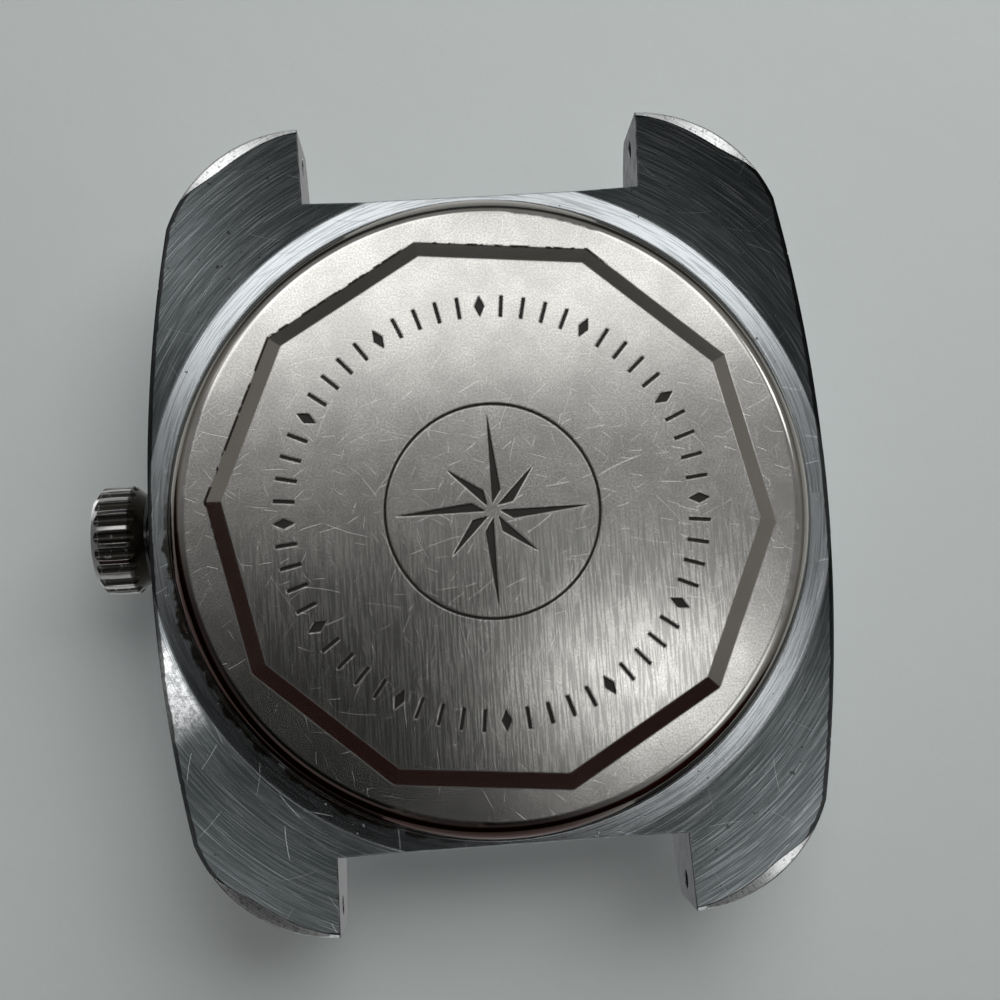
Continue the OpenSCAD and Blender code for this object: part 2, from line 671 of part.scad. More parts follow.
module hour_wheel() color([0.8, 0.68, 0.4]) {
  gear(hour_n, hour_m, hour_phase, z_front + 0.24, z_front + 0.38, cannon_r + air);
  tube(hour_tube_r, cannon_r + air, z_front + 0.38, z_hour + hand_t);
}
module setting_wheel() color([0.8, 0.68, 0.4]) at(setting_at) {
  gear(setting_n, hand_m, mesh_phase(0, minute_n, minute_phase, setting_n), z_front + 0.06, z_front + 0.2,
    post_r + 0.05);
  tube(1.1, 0.8, stem_z + slider_r + 0.05, z_front + 0.06);
}
module intermediate_date_wheel() color([0.8, 0.68, 0.4]) at(inter_at) {
  gear(hour_n, hour_m, mesh_phase(date_dir, hour_n, hour_phase, hour_n), z_front + 0.24, z_front + 0.36,
    post_r + fit_gap);
  gear(date_pinion_n, date_m, 0, z_front + 0.06, z_front + 0.24, post_r + fit_gap);
}
finger_len = date_tip + 0.15 - norm(drive_at);
module date_driving_wheel() color([0.8, 0.68, 0.4]) at(drive_at) difference() {
  union() {
    gear(date_drive_n, date_m, mesh_phase(date_dir, date_pinion_n, 0, date_drive_n), z_front + 0.07,
      z_front + 0.21, post_r + fit_gap);
    disc(0.55, z_front + 0.21, z_front + 0.5);
    rotate(date_dir + 90) block([0, -0.14, z_front + 0.4], [finger_len, 0.14, z_front + 0.5]);
  }
  disc(post_r + fit_gap, z_front - 1, z_front + 1);
}
// Ring with a tooth for each day on its inner edge
module date_ring() color([0.95, 0.95, 0.93]) translate([0, 0, z_ring]) linear_extrude(ring_t) difference() {
  circle(date_out, $fn = 96);
  polygon([for (i = [0 : days - 1]) for (k = [0 : 3])
    let (share = [0, 0.22, 0.42, 0.64][k], r = (k == 1 || k == 2) ? date_tip : date_in)
    polar(r, (i + share) * 360 / days)]);
}
module date_guard() color([0.78, 0.76, 0.66]) difference() {
  disc(date_in + 0.05, z_guard, z_guard + 0.1);
  disc(hour_tube_r + 0.2, z_guard - 1, z_guard + 1);
  for (p = guard_posts) at(p) disc(0.2, z_guard - 1, z_guard + 1);
  at(polar(6.2, 100)) disc(2.2, z_guard - 1, z_guard + 1);
  at(polar(6.4, -5)) disc(2, z_guard - 1, z_guard + 1);
}
jumper_at = shift(drive_at, 4.95, 137);
module date_jumper() color([0.6, 0.62, 0.66]) {
  at(jumper_at) disc(0.5, z_front + 0.005, z_ring + ring_t);
  bar(jumper_at, polar(date_tip - 0.38, 171), 0.5, z_ring + 0.02, z_ring + ring_t - 0.02);
}

// Plate and bridges

// Everything on the barrel's side of the line between the two bridges
module barrel_side(gap, side) rotate(barrel_dir) block([1.3 + gap, -20, -1], [20, side, 20]);
module mainplate() color([0.78, 0.76, 0.66]) difference() {
  union() {
    disc(movement_r, z_train, z_front);
    tube(movement_r, date_out + 0.1, z_front, z_dial - 0.03);
    at(minute_at) disc(post_r, z_front, z_front + 0.42);
    at(setting_at) disc(post_r, z_front, z_front + 0.24);
    at(inter_at) disc(post_r, z_front, z_front + 0.36);
    at(drive_at) disc(post_r, z_front, z_front + 0.46);
    at(lever_pivot) disc(post_r, z_front, z_lever + lever_t);
    at(yoke_pivot) disc(post_r, z_front, z_lever + lever_t);
    at(yoke_pivot + [-2.2, -4]) disc(post_r, z_front, z_lever + lever_t);
    for (p = guard_posts) at(p) disc(0.5, z_front, z_guard - 0.01);
  }
  plate_pockets();
  keyless_pocket();
  disc(centre_arbor_r + air, z_train, z_front + 1);
  at(barrel_at) disc(arbor_journal + air, z_train, z_plate + 0.4);
  for (p = [third_at, escape_at, pallet_at, balance_at]) at(p) {
    disc(jewel_r + 0.01, z_escape, z_plate + jewel_t);
    disc(pivot_r + fit_gap, z_plate, z_plate + 0.45);
  }
  for (p = concat(barrel_screws, train_screws, [cock_screw])) screw_hole(p, z_train - 1, z_train + 1.1);
  for (p = pallet_feet) screw_hole(p, z_train, z_pallet + pallet_t + 0.65);
  for (dir = clamp_dirs) screw_hole(polar(movement_r - 1.2, dir), z_train - 1, z_train + 1.1);
  for (a = foot_dirs) at(polar(foot_d, a)) disc(foot_r + fit_gap, z_front, z_dial);
}
arbor_journal = 0.5;
// Pockets that the wheels turn in, milled from the back
module plate_pockets() {
  z0 = z_train - 1;
  at(barrel_at) disc(barrel_tip + 0.25, z0, barrel_top + 0.05);
  disc(tip_r(fourth_n, fourth_m) + 0.14, z0, barrel_top + 0.05);
  disc(tip_r(centre_n, centre_m) + 0.12, z0, z_plate);
  at(third_at) disc(tip_r(third_n, third_m) + 0.15, z0, z_barrel + wheel_t + 0.15);
  at(third_at) disc(tip_r(third_pinion_n, centre_m) + 0.2, z0, z_plate);
  at(escape_at) disc(escape_r + 0.25, z0, z_escape + 0.35);
  at(pallet_at) disc(2.1, z0, z_escape + 0.35);
  at(balance_at) disc(balance_r + 0.2, z0, z_pallet + pallet_t);
  at(balance_at) disc(0.9, z0, z_escape + 0.5);
  bar(pallet_at, balance_at, 1.5, z0, z_escape + 0.35);
}
module keyless_pocket() {
  block([pocket_x0, -1.55, z_train - 1], [pocket_x1, 1.55, z_front + 1]);
  along_stem(0.35, pocket_x0 - 1, pocket_x0 + 1);
  along_stem(stem_r + air, pocket_x1 - 1, movement_r + 1);
  block([groove_x - 0.3, -0.75, stem_z], [movement_r + 1, 0.4, z_front + 1]);
  block([groove_x - 1.1, -2.7, z_front], [movement_r + 1, 0.6, z_lever + lever_t + air]);
  at(setting_at) tube(1.3, post_r, stem_z + slider_r, z_front + 1);
}
module barrel_bridge() color([0.78, 0.76, 0.66]) {
  difference() {
    intersection() {
      disc(movement_r - 0.2, z_bridge, z_train);
      barrel_side(0.05, 7);
    }
    at(balance_at) disc(balance_r + 0.25, z_bridge - 1, z_train + 1);
    at(barrel_at) disc(arbor_r + air, z_bridge - 1, z_train + 1);
    for (p = barrel_screws) screw_hole(p, z_bridge - 1, z_train + 1);
    screw_hole(click_at, z_bridge - 1, z_train + 1);
    screw_hole(crown_wheel_at, z_bridge - 1, z_train + 1);
    block([wind_x + 0.3, -1.55, z_bridge - 1], [pocket_x1, 1.55, z_train + 1]);
    block([pocket_x0, -1.2, z_train - 0.2], [pocket_x1, 1.2, z_train + 1]);
  }
  at(crown_wheel_at) tube(0.9, screw_shank_r + fit_gap, z_wind, z_bridge);
}
module train_bridge() color([0.78, 0.76, 0.66]) difference() {
  intersection() {
    disc(movement_r - 0.2, z_bridge, z_train);
    rotate(barrel_dir) block([-9.5, -8, 0], [1.25, 4.9, 20]);
  }
  at(balance_at) disc(balance_r + 0.15, z_bridge - 1, z_train + 1);
  for (p = [[0, 0], third_at, escape_at]) at(p) disc(jewel_r + 0.01, z_bridge - 1, z_train + 1);
  for (p = train_screws) screw_hole(p, z_bridge - 1, z_train + 1);
}
module balance_cock() color([0.78, 0.76, 0.66]) {
  difference() {
    union() {
      bar(cock_screw, balance_at, 2.2, z_cock, z_cock + cock_t);
      at(balance_at) disc(1.3, z_cock, z_cock + cock_t);
      at(cock_screw) disc(1, z_cock + 0.1, z_train);
    }
    at(balance_at) disc(jewel_r + 0.01, z_cock - 1, z_train + 1);
    screw_hole(cock_screw, z_cock - 1, z_train + 1);
  }
}
module pallet_bridge() color([0.78, 0.76, 0.66]) difference() {
  union() for (p = pallet_feet) bar(pallet_at, p, 1.2, z_pallet, z_pallet + pallet_t);
  at(pallet_at) disc(jewel_r + 0.01, z_pallet - 1, z_pallet + 1);
  for (p = pallet_feet) screw_hole(p, z_pallet - 1, z_pallet + 1);
}
module regulator() color([0.6, 0.62, 0.66]) difference() {
  z0 = z_cock - 0.17;
  union() {
    at(balance_at) disc(1.1, z0, z_cock - seat);
    bar(balance_at, shift(balance_at, 2.6, 30), 0.35, z0, z_cock - seat);
    bar(balance_at, shift(balance_at, 2.3, 170), 0.5, z0, z_cock - seat);
  }
  at(balance_at) disc(0.6, z0 - 1, z_cock + 1);
}
// A ring jewel for a pivot
module jewel(p, z, bore = pivot_r + fit_gap) at(p) tube(jewel_r, bore, z, z + jewel_t);
module jewels() color([0.75, 0.1, 0.25]) {
  for (p = [third_at, escape_at]) jewel(p, z_bridge + 0.15);
  jewel([0, 0], z_bridge + 0.15, fourth_arbor_r + fit_gap);
  for (p = [third_at, escape_at, pallet_at, balance_at]) jewel(p, z_plate);
  jewel(pallet_at, z_pallet + 0.1);
  jewel(balance_at, z_cock + 0.15);
}
module bridge_screws() color([0.45, 0.5, 0.66]) {
  for (p = concat(barrel_screws, train_screws)) screw(p, z_bridge, screw_len);
  screw(cock_screw, z_cock, 1.7, 0.8);
  for (p = pallet_feet) at(p) {
    disc(0.45, z_pallet - 0.15, z_pallet);
    disc(screw_shank_r, z_pallet, z_pallet + pallet_t + 0.5);
  }
  screw(click_at, z_wind, wind_t + air + 0.4);
  screw(crown_wheel_at, z_wind, wind_t + air + 0.4, 1.15);
}

// Barrel and winding wheels

arbor_r = 0.7;
drum_r = 5.2;
drum_in = drum_r - 0.33;
module barrel() color([0.8, 0.68, 0.4]) at(barrel_at) difference() {
  union() {
    disc(drum_r, z_barrel, barrel_top);
    gear(barrel_n, barrel_m, mesh_phase(barrel_dir, centre_pinion_n, 0, barrel_n), barrel_top - 0.5,
      barrel_top - 0.15, 0.6);
  }
  disc(drum_in, z_barrel - 1, barrel_top - 0.15);
  disc(arbor_journal + air, z_barrel, barrel_top + 1);
}
module barrel_cover() color([0.8, 0.68, 0.4]) at(barrel_at)
  tube(drum_in - 0.01, arbor_r + air, z_barrel, z_barrel + 0.13);
module mainspring() color([0.4, 0.42, 0.45]) at(barrel_at)
  spiral(1.5, drum_in - 0.2, 7, 0.15, z_barrel + 0.2, barrel_top - 0.2);
module barrel_arbor() color([0.6, 0.62, 0.64]) at(barrel_at) difference() {
  union() {
    disc(arbor_r, z_wind, z_barrel + 0.18);
    disc(1.3, z_barrel + 0.18, barrel_top - 0.18);
    disc(arbor_journal, barrel_top - 0.18, z_plate + 0.35);
  }
  disc(screw_shank_r + fit_gap, z_wind - 1, z_wind + 0.65);
}
module ratchet_wheel() color([0.75, 0.75, 0.72]) at(barrel_at)
  gear(ratchet_n, wind_m, 0, z_wind, z_wind + wind_t, arbor_r + 0.01);
module ratchet_screw() color([0.45, 0.5, 0.66]) screw(barrel_at, z_wind, 0.6, 1);
wind_dir = angle_of(crown_wheel_at - barrel_at);
module crown_wheel() color([0.75, 0.75, 0.72]) at(crown_wheel_at)
  gear(crown_wheel_n, wind_m, mesh_phase(wind_dir, ratchet_n, 0, crown_wheel_n), z_wind + 0.01,
    z_wind + wind_t, 0.95);
module click() color([0.6, 0.62, 0.65]) translate([0, 0, z_wind + seat]) linear_extrude(wind_t - seat)
  difference() {
    union() {
      translate(click_at) circle(0.6);
      strip(click_at, shift(barrel_at, tip_r(ratchet_n, wind_m) + 0.26, 178), 0.4);
      strip(click_at, click_at + [-0.3, 1.1], 0.4);
    }
    translate(click_at) circle(screw_shank_r + fit_gap);
  }
module click_spring() color([0.7, 0.72, 0.75]) {
  foot = click_at + [1.5, 2.6];
  at(foot) disc(0.45, z_wind + 0.1, z_bridge - 0.005);
  bar(foot, click_at + [0.1, 1.45], 0.16, z_wind + 0.1, z_wind + wind_t - 0.05);
}

// Going train

module centre_wheel() color([0.8, 0.68, 0.4]) {
  gear(centre_pinion_n, barrel_m, 0, z_barrel + 0.28, barrel_top + 0.05, fourth_arbor_r + air);
  crossed_gear(centre_n, centre_m, 0, z_centre, z_centre + wheel_t, centre_arbor_r, 0.9);
  tube(centre_arbor_r, fourth_arbor_r + air, barrel_top + 0.05, z_minute + hand_t + 0.04);
}
module third_wheel() color([0.8, 0.68, 0.4]) at(third_at) {
  crossed_gear(third_n, third_m, 0, z_barrel, z_barrel + wheel_t, 0.15, 0.8);
  gear(third_pinion_n, centre_m, mesh_phase(third_dir, centre_n, 0, third_pinion_n), z_centre - 0.1,
    z_centre + wheel_t + 0.05, 0.15);
  arbor(0.15, z_bridge + 0.15, z_plate + 0.3);
}
module fourth_wheel() color([0.8, 0.68, 0.4]) {
  crossed_gear(fourth_n, fourth_m, 0, z_fourth, z_fourth + wheel_t, fourth_arbor_r, 0.8);
  gear(fourth_pinion_n, third_m, mesh_phase(third_dir - 180, third_n, 0, fourth_pinion_n), z_fourth + wheel_t,
    z_barrel + 0.22, fourth_arbor_r);
  disc(fourth_arbor_r, z_bridge + 0.15, z_seconds + hand_t + 0.03);
}
module escape_wheel() color([0.72, 0.74, 0.76]) at(escape_at) {
  gear(escape_pinion_n, fourth_m, mesh_phase(escape_dir, fourth_n, 0, escape_pinion_n), z_fourth - 0.05,
    z_fourth + wheel_t + 0.05, 0.12);
  translate([0, 0, z_escape]) linear_extrude(0.13) difference() {
    polygon([for (i = [0 : escape_n - 1]) for (k = [0 : 3])
      polar([escape_r - 0.5, escape_r, escape_r, escape_r - 0.45][k], (i + [0, 0.25, 0.4, 0.5][k]) * 360 / escape_n)]);
    circle(0.12);
    arm_windows(escape_r - 0.75, 0.45, 4, 0.22);
  }
  arbor(0.12, z_bridge + 0.15, z_plate + 0.3);
}
fork_dir = balance_dir;
module pallet_fork() color([0.62, 0.64, 0.68]) {
  z1 = z_escape + 0.13;
  difference() {
    union() {
      for (side = [-1, 1])
        bar(pallet_at, shift(escape_at, escape_r + 0.3, pallet_dir + side * 30), 0.3, z_escape, z1);
      bar(pallet_at, shift(pallet_at, balance_d - 0.68, fork_dir), 0.24, z_escape, z1);
      for (side = [-1, 1]) bar(shift(shift(pallet_at, balance_d - 0.68, fork_dir), 0.15, fork_dir + side * 90),
        shift(shift(pallet_at, balance_d - 0.36, fork_dir), 0.17, fork_dir + side * 90), 0.1, z_escape, z1);
      at(pallet_at) disc(0.3, z_escape, z1);
    }
    at(pallet_at) disc(0.12, z_escape - 1, z1 + 1);
  }
  at(pallet_at) arbor(0.12, z_pallet + 0.1, z_plate + 0.3);
}
module balance_wheel() color([0.84, 0.72, 0.42]) at(balance_at) translate([0, 0, z_balance])
  linear_extrude(balance_t) difference() {
    circle(balance_r, $fn = 64);
    arm_windows(balance_r - 0.45, 0.6, 3, 0.4);
    circle(0.205);
  }
// The balance stands at the end of a swing, so its pin is out of the fork's notch
swing = 150;
module balance_staff() color([0.6, 0.62, 0.64]) at(balance_at) {
  disc(0.2, z_spring - 0.03, z_escape - 0.1);
  disc(0.42, z_spring, z_spring + 0.12);
  disc(pivot_r, z_cock + 0.15, z_spring - 0.03);
  disc(0.14, z_escape - 0.1, z_plate + 0.02);
  disc(pivot_r, z_plate + 0.02, z_plate + 0.3);
  difference() {
    disc(0.6, z_escape - 0.2, z_escape - 0.08);
    disc(0.2, z_escape - 1, z_escape);
  }
  at(polar(0.44, balance_dir + 180 + swing)) disc(0.07, z_escape - 0.08, z_escape + 0.15);
}
module hairspring() color([0.35, 0.45, 0.75]) at(balance_at) spiral(0.5, 2.3, 9, 0.07, z_spring, z_spring + 0.12);

mid_case();
case_back();
back_gasket();
crystal();
tension_ring();
crown();
crown_tube();
crown_gasket();
winding_stem();
winding_pinion();
sliding_pinion();
setting_lever();
yoke();
setting_lever_spring();
movement_ring();
casing_clamps();
clamp_screws();
dial();
hour_markers();
hour_hand();
minute_hand();
seconds_hand();
date_ring();
date_guard();
date_jumper();
intermediate_date_wheel();
date_driving_wheel();
minute_wheel();
hour_wheel();
cannon_pinion();
setting_wheel();
mainplate();
barrel_bridge();
train_bridge();
balance_cock();
pallet_bridge();
barrel();
barrel_cover();
mainspring();
barrel_arbor();
ratchet_wheel();
ratchet_screw();
crown_wheel();
click();
click_spring();
centre_wheel();
third_wheel();
fourth_wheel();
escape_wheel();
pallet_fork();
balance_wheel();
balance_staff();
hairspring();
regulator();
jewels();
bridge_screws();
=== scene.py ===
# %% [markdown]
# # A watch head, seen from behind
# The watch lies on its crystal and shows its screwed case back. Its solids come from the packed
# model, so this lesson adds what solids don't have: the finish of each metal, the printing on
# the dial and the date ring, the table, the light and the camera.

from math import cos, pi, radians, sin, sqrt

import bpy
from mathutils import Matrix, Vector


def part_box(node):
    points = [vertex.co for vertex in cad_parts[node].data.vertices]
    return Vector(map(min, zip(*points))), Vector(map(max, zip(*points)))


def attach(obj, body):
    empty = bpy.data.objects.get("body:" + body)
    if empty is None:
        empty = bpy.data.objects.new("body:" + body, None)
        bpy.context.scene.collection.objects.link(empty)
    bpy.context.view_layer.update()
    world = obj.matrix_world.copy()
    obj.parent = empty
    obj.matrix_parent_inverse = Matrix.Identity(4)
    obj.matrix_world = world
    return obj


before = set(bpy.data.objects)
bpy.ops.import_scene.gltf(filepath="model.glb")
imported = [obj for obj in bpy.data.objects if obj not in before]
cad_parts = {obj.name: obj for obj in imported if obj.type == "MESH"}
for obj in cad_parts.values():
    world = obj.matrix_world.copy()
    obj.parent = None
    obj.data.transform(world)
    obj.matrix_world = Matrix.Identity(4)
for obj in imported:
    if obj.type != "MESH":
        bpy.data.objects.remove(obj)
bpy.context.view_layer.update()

# %% [markdown]
# Blender works in metres and a watch is drawn in millimetres. One factor keeps the sizes below
# readable. Outer sizes are measured on the solids. The few sizes that no box can tell, such as
# the corners of the boss, have the same values as in the model's source.

# %% Sizes that the finishes need
MM = 0.001


def node_box(name):
    """The low and the high corner of a node, in millimetres."""
    low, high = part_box(name)
    return Vector(low) / MM, Vector(high) / MM


back_r = node_box("case_back")[1].x
case_high = node_box("mid_case")[1]
crown_low, crown_high = node_box("crown")
date_ring_high = node_box("date_ring")[1]
dial_high = node_box("dial")[1]
crystal_high = node_box("crystal")[1]
# The back's ten-sided boss
boss_h = 0.5
boss_turn = radians(23.5)
boss_side = 2 * pi / 10
flat_corner_r, foot_corner_r = 13.88, 14.79
flat_edge = flat_corner_r * cos(boss_side / 2)
foot_edge = foot_corner_r * cos(boss_side / 2)
# The crown, round the stem's axis
stem_z = (crown_low.z + crown_high.z) / 2
crown_r = (crown_high.z - crown_low.z) / 2
# The case from behind: the turned ring round the back, and the lugs that fall away from it
land_z = 1.62
turned_ring_r = back_r + 1.17
underside_fall = 0.23
# The space for the strap between two lugs, and where it begins along the watch
lug_gap = 18.0
body_end = 17.0
# The case's outline: long arcs along the flanks, small circles at the lugs' outer corners
flank_r = 71.0
flank_shift = flank_r - case_high.x
lug_corner_r = 8.1
corner_y = case_high.y - lug_corner_r
corner_x = sqrt((flank_r - lug_corner_r) ** 2 - corner_y ** 2) - flank_shift + 0.12
print("back radius", round(back_r, 2), "mm, stem height", round(stem_z, 2), "mm")

# %% [markdown]
# A finish is a small sum: a mask times a colour, a wave added to a grain. Written as nodes it
# takes a screen of boxes, so a small class wraps a socket and lets Python's own signs make the
# Math nodes. Sums of plain numbers never become nodes.

# %% A socket that can be added, multiplied and compared
class Field:
    """A node's output, for sums written with Python's own signs."""

    def __init__(self, tree, socket):
        self.tree, self.socket = tree, socket

    def math(self, operation, *others):
        inputs = dict(enumerate((self, *others)))
        return node(self.tree, "ShaderNodeMath", {"operation": operation}, inputs)

    def __add__(self, other):
        return self.math("ADD", other)

    __radd__ = __add__

    def __sub__(self, other):
        return self.math("SUBTRACT", other)

    def __rsub__(self, other):
        return node(self.tree, "ShaderNodeMath", {"operation": "SUBTRACT"}, {0: other, 1: self})

    def __mul__(self, other):
        return self.math("MULTIPLY", other)

    __rmul__ = __mul__

    def __truediv__(self, other):
        return self.math("DIVIDE", other)

    def __pow__(self, other):
        return self.math("POWER", other)

    def __abs__(self):
        return self.math("ABSOLUTE")

    def step(self, low, high):
        """0 on low's side, 1 on high's side, smooth between them. low may be the larger."""
        start, end = (0.0, 1.0) if low < high else (1.0, 0.0)
        return node(self.tree, "ShaderNodeMapRange", {"interpolation_type": "SMOOTHSTEP"},
                    {"Value": self, "From Min": min(low, high), "From Max": max(low, high),
                     "To Min": start, "To Max": end})

    def parts(self):
        """The three numbers of a vector or a colour."""
        split = node(self.tree, "ShaderNodeSeparateXYZ", inputs={0: self})
        return [Field(self.tree, socket) for socket in split.socket.node.outputs]


def plug(tree, slot, value):
    """Links a field to a socket, or writes a number or a colour of three numbers into it."""
    if isinstance(value, Field):
        tree.links.new(value.socket, slot)
    else:
        slot.default_value = (*value, 1) if isinstance(value, tuple) else value


def node(tree, kind, settings=None, inputs=None, output=0):
    """Adds any node: its settings first, then the values or links of its sockets."""
    n = tree.nodes.new(kind)
    for key, value in (settings or {}).items():
        setattr(n, key, value)
    for key, value in (inputs or {}).items():
        plug(tree, n.inputs[key], value)
    return Field(tree, n.outputs[output])


def mixed(tree, mask, low, high):
    """The colour low where the mask is 0, the colour high where it is 1."""
    return node(tree, "ShaderNodeMix", {"data_type": "RGBA"}, {"Factor": mask, 6: low, 7: high}, 2)


print("fields ready")

# %% [markdown]
# Every finish reads the place of a point on the watch, in millimetres. The distance from the
# middle and the angle round it are what a lathe follows, so they are worked out once here,
# together with the few patterns that all worn metal shares: grain, strokes and hair scratches.

# %% Where a point is on the watch
class Finish:
    """A material with its place fields and the patterns that metal finishes share."""

    def __init__(self, name, **constants):
        self.material = bpy.data.materials.new(name)
        self.material.use_nodes = True
        self.tree = self.material.node_tree
        self.shader = self.tree.nodes["Principled BSDF"]
        for key, value in constants.items():
            self.set(key.replace("_", " "), value)
        self.place = self.node("ShaderNodeVectorMath", {"operation": "SCALE"},
                               {0: self.node("ShaderNodeTexCoord", output=3), "Scale": 1 / MM})
        self.x, self.y, self.z = self.place.parts()
        self.r = (self.x * self.x + self.y * self.y).math("SQRT")

    def set(self, key, value):
        plug(self.tree, self.shader.inputs[key], value)

    def node(self, *args, **kwargs):
        return node(self.tree, *args, **kwargs)

    def vector(self, x, y, z=0.0):
        return self.node("ShaderNodeCombineXYZ", inputs={0: x, 1: y, 2: z})

    def angle(self):
        return self.y.math("ARCTAN2", self.x)

    def noise(self, vector=None, scale=1.0, detail=2.0, rough=0.5):
        return self.node("ShaderNodeTexNoise", {"noise_dimensions": "3D"},
                         {"Vector": vector or self.place, "Scale": scale, "Detail": detail,
                          "Roughness": rough})

    def strokes(self, across, along, density, length, shift=0.0):
        """Fine lines: quick change across them, slow change along them."""
        return self.noise(self.vector(across * density, along / length, shift), 1.0, 3.0, 0.6)

    def hairs(self, cell, half_width, shift, bend=0.06):
        """One hair scratch in each cell of a random net, each turned its own way."""
        place = self.vector(self.x + shift, self.y)
        net = self.node("ShaderNodeTexVoronoi", {"voronoi_dimensions": "2D"},
                        {"Vector": place, "Scale": 1 / cell}).socket.node.outputs
        random, strength, _ = Field(self.tree, net["Color"]).parts()
        turn = random * (2 * pi)
        middle = Field(self.tree, net["Position"])
        dx, dy, _ = self.node("ShaderNodeVectorMath", {"operation": "SUBTRACT"},
                              {0: place, 1: middle}).parts()
        c, s = turn.math("COSINE"), turn.math("SINE")
        along = dx * c + dy * s
        across = abs(dx * s - dy * c + along * along * bend)
        line = across.step(half_width, half_width * 0.5)
        return line * abs(along).step(cell * 0.45, cell * 0.25) * strength

    def layers(self, base, *coats):
        """Lays colours over each other, each one where its mask is 1."""
        for mask, colour in coats:
            base = mixed(self.tree, mask, base, colour)
        return base

    def bump(self, height, depth, edge=0.0):
        """Height in units of depth millimetres. edge rounds the sharp edges by that radius."""
        inputs = {"Strength": 1.0, "Distance": depth * MM, "Height": height}
        if edge:
            inputs["Normal"] = self.node("ShaderNodeBevel", {"samples": 6}, {"Radius": edge * MM})
        self.set("Normal", self.node("ShaderNodeBump", inputs=inputs))


def dress(finish, *nodes):
    """Gives the finish to CAD nodes."""
    for name in nodes:
        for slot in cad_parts[name].material_slots:
            slot.material = finish.material


print("finish class ready")

# %% [markdown]
# ## The case back
# The back is turned from stainless steel. Its flat was brushed in one direction, along 12 to 6,
# and years of wear have left a matt grain and hair scratches on it. The ten slopes round it are
# smooth, the ring outside them is satin, and the rounded rim is polished. Each could be a
# material of its own, but height and distance from the middle tell them apart, so one material
# holds all four and the grain runs on from one to the next.

# %% Distance square to the boss's sides
def boss_reach(f):
    """Distance from the middle, square to the nearest side of the ten-sided boss."""
    part = (f.angle() / boss_side - (boss_turn / boss_side - 0.5)).math("FRACT")
    return f.r * ((part - 0.5) * boss_side).math("COSINE")


print("slopes from", round(flat_edge, 2), "to", round(foot_edge, 2), "mm")

# %% Stainless back
# The engraved marks all lie within this radius
marks_end_r = 12.5


def stainless_back():
    f = Finish("stainless_back", Metallic=1.0)
    reach = boss_reach(f)
    flat = f.z.step(0.03, 0.015)
    engraved = f.z.step(0.01, 0.02) * f.z.step(0.11, 0.1)
    engraved = engraved * f.r.step(marks_end_r + 0.1, marks_end_r)
    slope = reach.step(flat_edge - 0.02, flat_edge + 0.04)
    slope = slope * reach.step(foot_edge + 0.02, foot_edge - 0.04)
    slope = slope * f.z.step(boss_h + 0.02, boss_h - 0.01)
    rim = f.r.step(back_r - 1.0, back_r - 0.9)
    level = flat + reach.step(foot_edge - 0.02, foot_edge + 0.04) * (1 - rim)
    # Straight brushing shows towards 6 o'clock, and a blasted grain everywhere
    brush = f.strokes(f.x, f.y, 9.0, 2.5)
    brushed = f.y.step(2.0, -5.0) * flat
    grain = f.noise(None, 10.0, 2.0, 0.6)
    cloud = f.noise(None, 0.35, 3.0, 0.6)
    hair = f.hairs(1.7, 0.025, 0.0) + f.hairs(0.9, 0.02, 31.0) + f.hairs(3.1, 0.025, 67.0)
    height = (brush - 0.5) * brushed * 0.3 + (grain - 0.5) * level * 0.08 - hair * level * 0.3
    f.bump(height, 0.004, 0.12)
    f.set("Roughness", 0.12 + level * 0.05 + slope * 0.14 + engraved * 0.3)
    # Dark red on the rounded edge towards the crown and 6 o'clock: rust and a painted reflection of
    #     the dark red room. Dirt and painted shade at the foot of the slopes towards 1 o'clock
    rust_and_red_reflection = f.r.step(back_r - 1.05, back_r - 0.9) * (f.x * 0.57 - f.y * 0.82).step(5.5, 12.5)
    foot = abs(reach - foot_edge).step(0.1, 0.04)
    patches = f.noise(None, 1.1, 3.0, 0.7).step(0.46, 0.52)
    patches = patches * (f.x * 0.5 + f.y * 0.85).step(5.0, 9.0)
    f.set("Base Color", f.layers(
        (0.64, 0.63, 0.6),
        (cloud.step(0.35, 0.65), (0.78, 0.765, 0.73)),
        (brush.step(0.44, 0.56) * brushed * 0.6, (0.22, 0.22, 0.21)),
        (grain.step(0.65, 0.35) * level * 0.45, (0.36, 0.35, 0.33)),
        (hair.math("MINIMUM", 1.0) * level * 0.5, (0.95, 0.95, 0.93)),
        (slope * 0.8, (0.5, 0.48, 0.44)),
        # the rounded rim painted dark grey: a painted dark reflection
        (f.r.step(back_r - 0.75, back_r - 0.5) * 0.9, (0.27, 0.26, 0.235)),
        # rust and painted reflection of the dark red room on the rim
        (rust_and_red_reflection * 0.92, (0.035, 0.012, 0.009)),
        # dirt and painted shade in the corner at the foot of the slopes
        (foot * patches * 0.95, (0.03, 0.025, 0.02)),
        (engraved * 0.95, (0.02, 0.018, 0.016)),
    ))
    return f


dress(stainless_back(), "case_back")
print("case back dressed")

# %% [markdown]
# ## The case
# The case is base metal with chrome plate. Behind, it was faced on a lathe: the strokes run
# round the middle, fine and light on the ring next to the back, coarse and darker out on the
# lugs. In front and on its flanks it is polished. The strokes could be a painted picture. A
# noise that changes quickly outwards and slowly round the middle makes them without a seam.

# %% Where the lathe went, and the marks on the plate
case = Finish("chromed_case", Metallic=1.0)
past_ring = (case.r - turned_ring_r).math("MAXIMUM", 0.0)
behind = (case.z + past_ring * underside_fall).step(land_z + 0.12, land_z + 0.08)
ring = case.r.step(turned_ring_r + 0.1, turned_ring_r - 0.1) * behind
lugs = behind * (1 - ring)
round_middle = case.angle()
fine = case.strokes(case.r, round_middle, 10.0, 0.2)
coarse = case.strokes(case.r, round_middle, 13.0, 0.22, 4.0)
grain = case.noise(None, 6.0, 4.0, 0.8)
scratches = case.hairs(2.3, 0.025, 12.0) * behind
pits = case.noise(None, 2.4, 2.0, 0.6).step(0.71, 0.74) * behind
